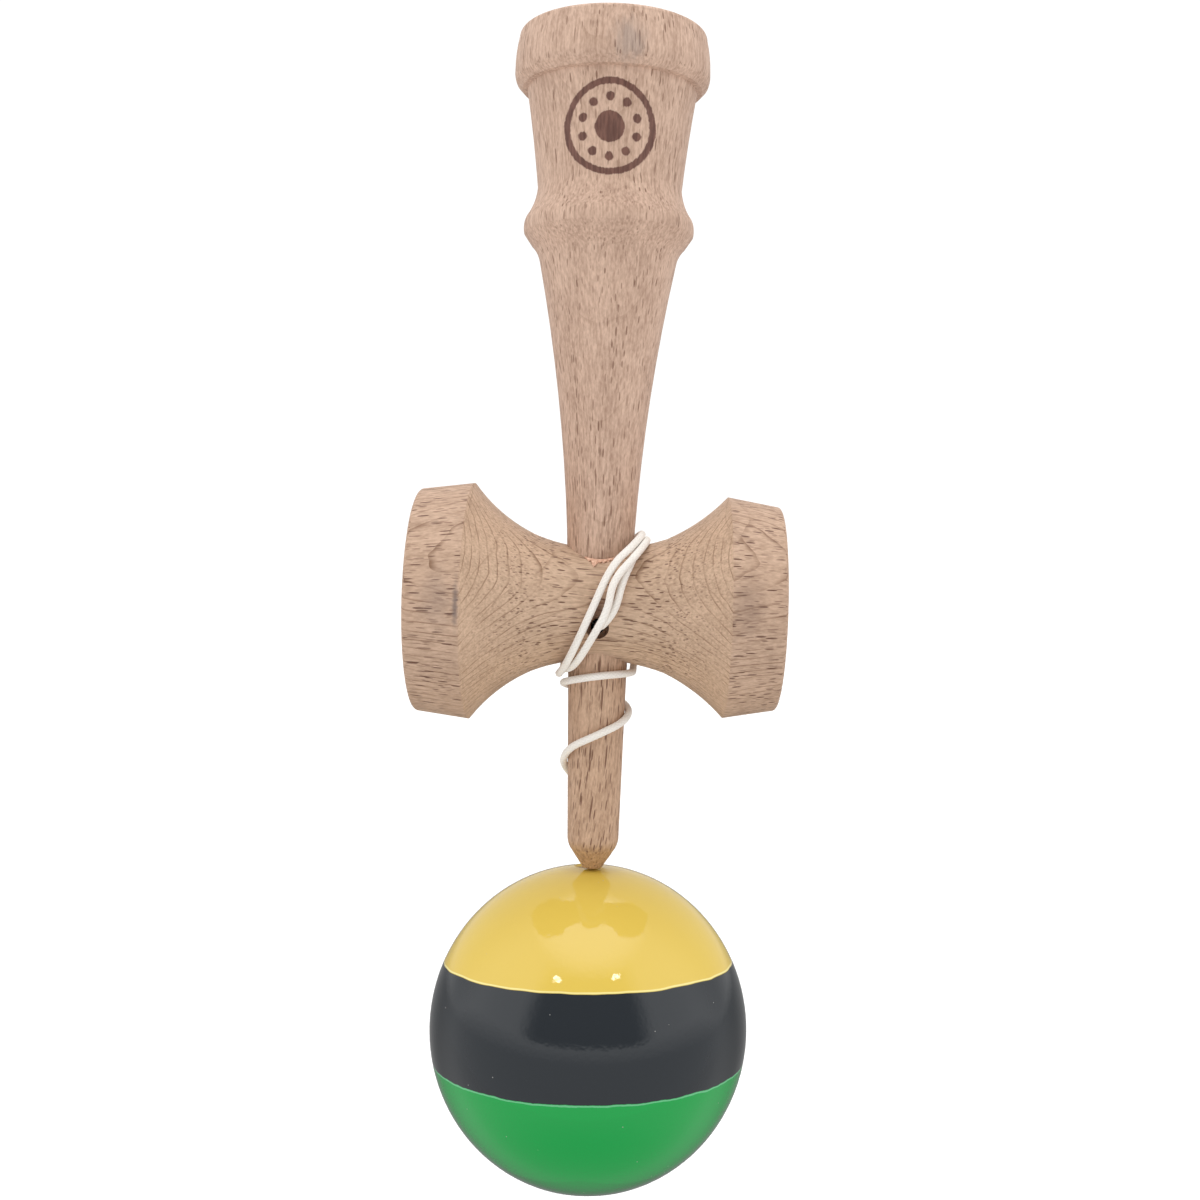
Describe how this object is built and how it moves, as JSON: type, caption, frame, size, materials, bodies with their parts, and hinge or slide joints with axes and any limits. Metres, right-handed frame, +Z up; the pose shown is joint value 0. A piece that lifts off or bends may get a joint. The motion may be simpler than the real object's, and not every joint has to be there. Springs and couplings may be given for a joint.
{
  "type": "kendama",
  "caption": "Cup-and-ball skill toy: turned wooden handle with spike and base cup, pressed-on cross-piece with two cups, and a lacquered ball on a string wound round the joint.",
  "frame": {"origin": "where the turning axis of the handle piece (ken) crosses the turning axis of the cross-piece (sarado)", "axes": "+Z up the ken towards the base cup, +X along the cross-piece towards the small cup, -Y out of the string hole"},
  "size_m": [0.0667, 0.06, 0.212],
  "materials": {
    "ken_beech": "bare turned beech, sanded",
    "sarado_beech": "bare turned beech, sanded",
    "tama_lacquer": "gloss lacquer in yellow, black and green bands",
    "cord": "braided polyester, cream white",
    "bead_plastic": "satin"
  },
  "bodies": {
    "ken": {"ken": "ken_beech", "sarado": "sarado_beech", "anchor_knot": "cord", "string_wound": "cord"},
    "string_bend": {"string_bend": "cord"},
    "bead": {"string_inner": "cord", "bead": "bead_plastic", "bead_knot": "cord"},
    "tama": {"tama": "tama_lacquer"}
  },
  "joints": [
    {"name": "swing_back", "type": "hinge", "parent": "ken", "child": "string_bend", "pos_m": [-0.00079, 0.00339, -0.0504], "axis": [1, 0, 0], "range_deg": [0, 20]},
    {"name": "swing_side", "type": "hinge", "parent": "string_bend", "child": "bead", "pos_m": [-0.00079, 0.00339, -0.0504], "axis": [0, 1, 0], "range_deg": [-6, 6]},
    {"name": "tama_spin", "type": "hinge", "parent": "bead", "child": "tama", "pos_m": [-0.00079, 0.00339, -0.0504], "axis": [-0.0262, 0.1132, 0.9932], "continuous": true}
  ]
}
